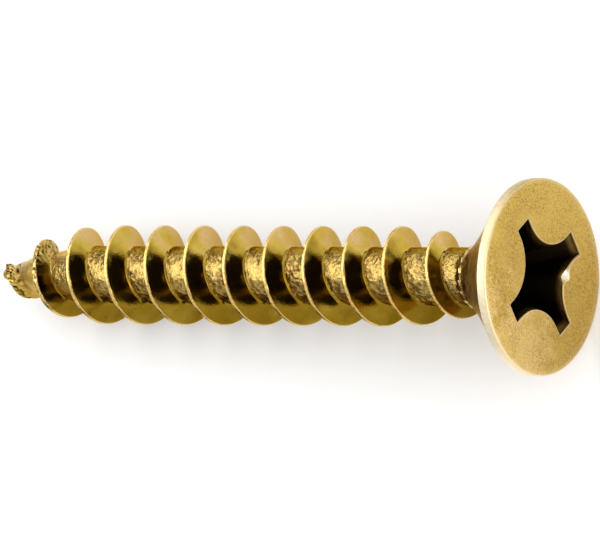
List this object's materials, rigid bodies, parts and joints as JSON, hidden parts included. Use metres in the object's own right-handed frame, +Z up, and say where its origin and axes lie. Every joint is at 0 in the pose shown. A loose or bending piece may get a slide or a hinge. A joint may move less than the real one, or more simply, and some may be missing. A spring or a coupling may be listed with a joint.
{
  "type": "chipboard screw",
  "caption": "Countersunk chipboard screw with a cross recess and a coarse single-start thread that runs up to the head, lying on its side.",
  "frame": {"origin": "centre of the lying screw's footprint, on the surface that it rests on", "axes": "+X along the screw towards its head, +Y to the side, +Z up; the axis rises about 5 degrees towards the head"},
  "size_m": [0.0302, 0.0088, 0.0088],
  "materials": {
    "yellow_zinc_steel": "satin yellow zinc plating over carbon steel, with fine forming marks"
  },
  "bodies": {
    "root": {"screw": "yellow_zinc_steel"}
  },
  "joints": []
}
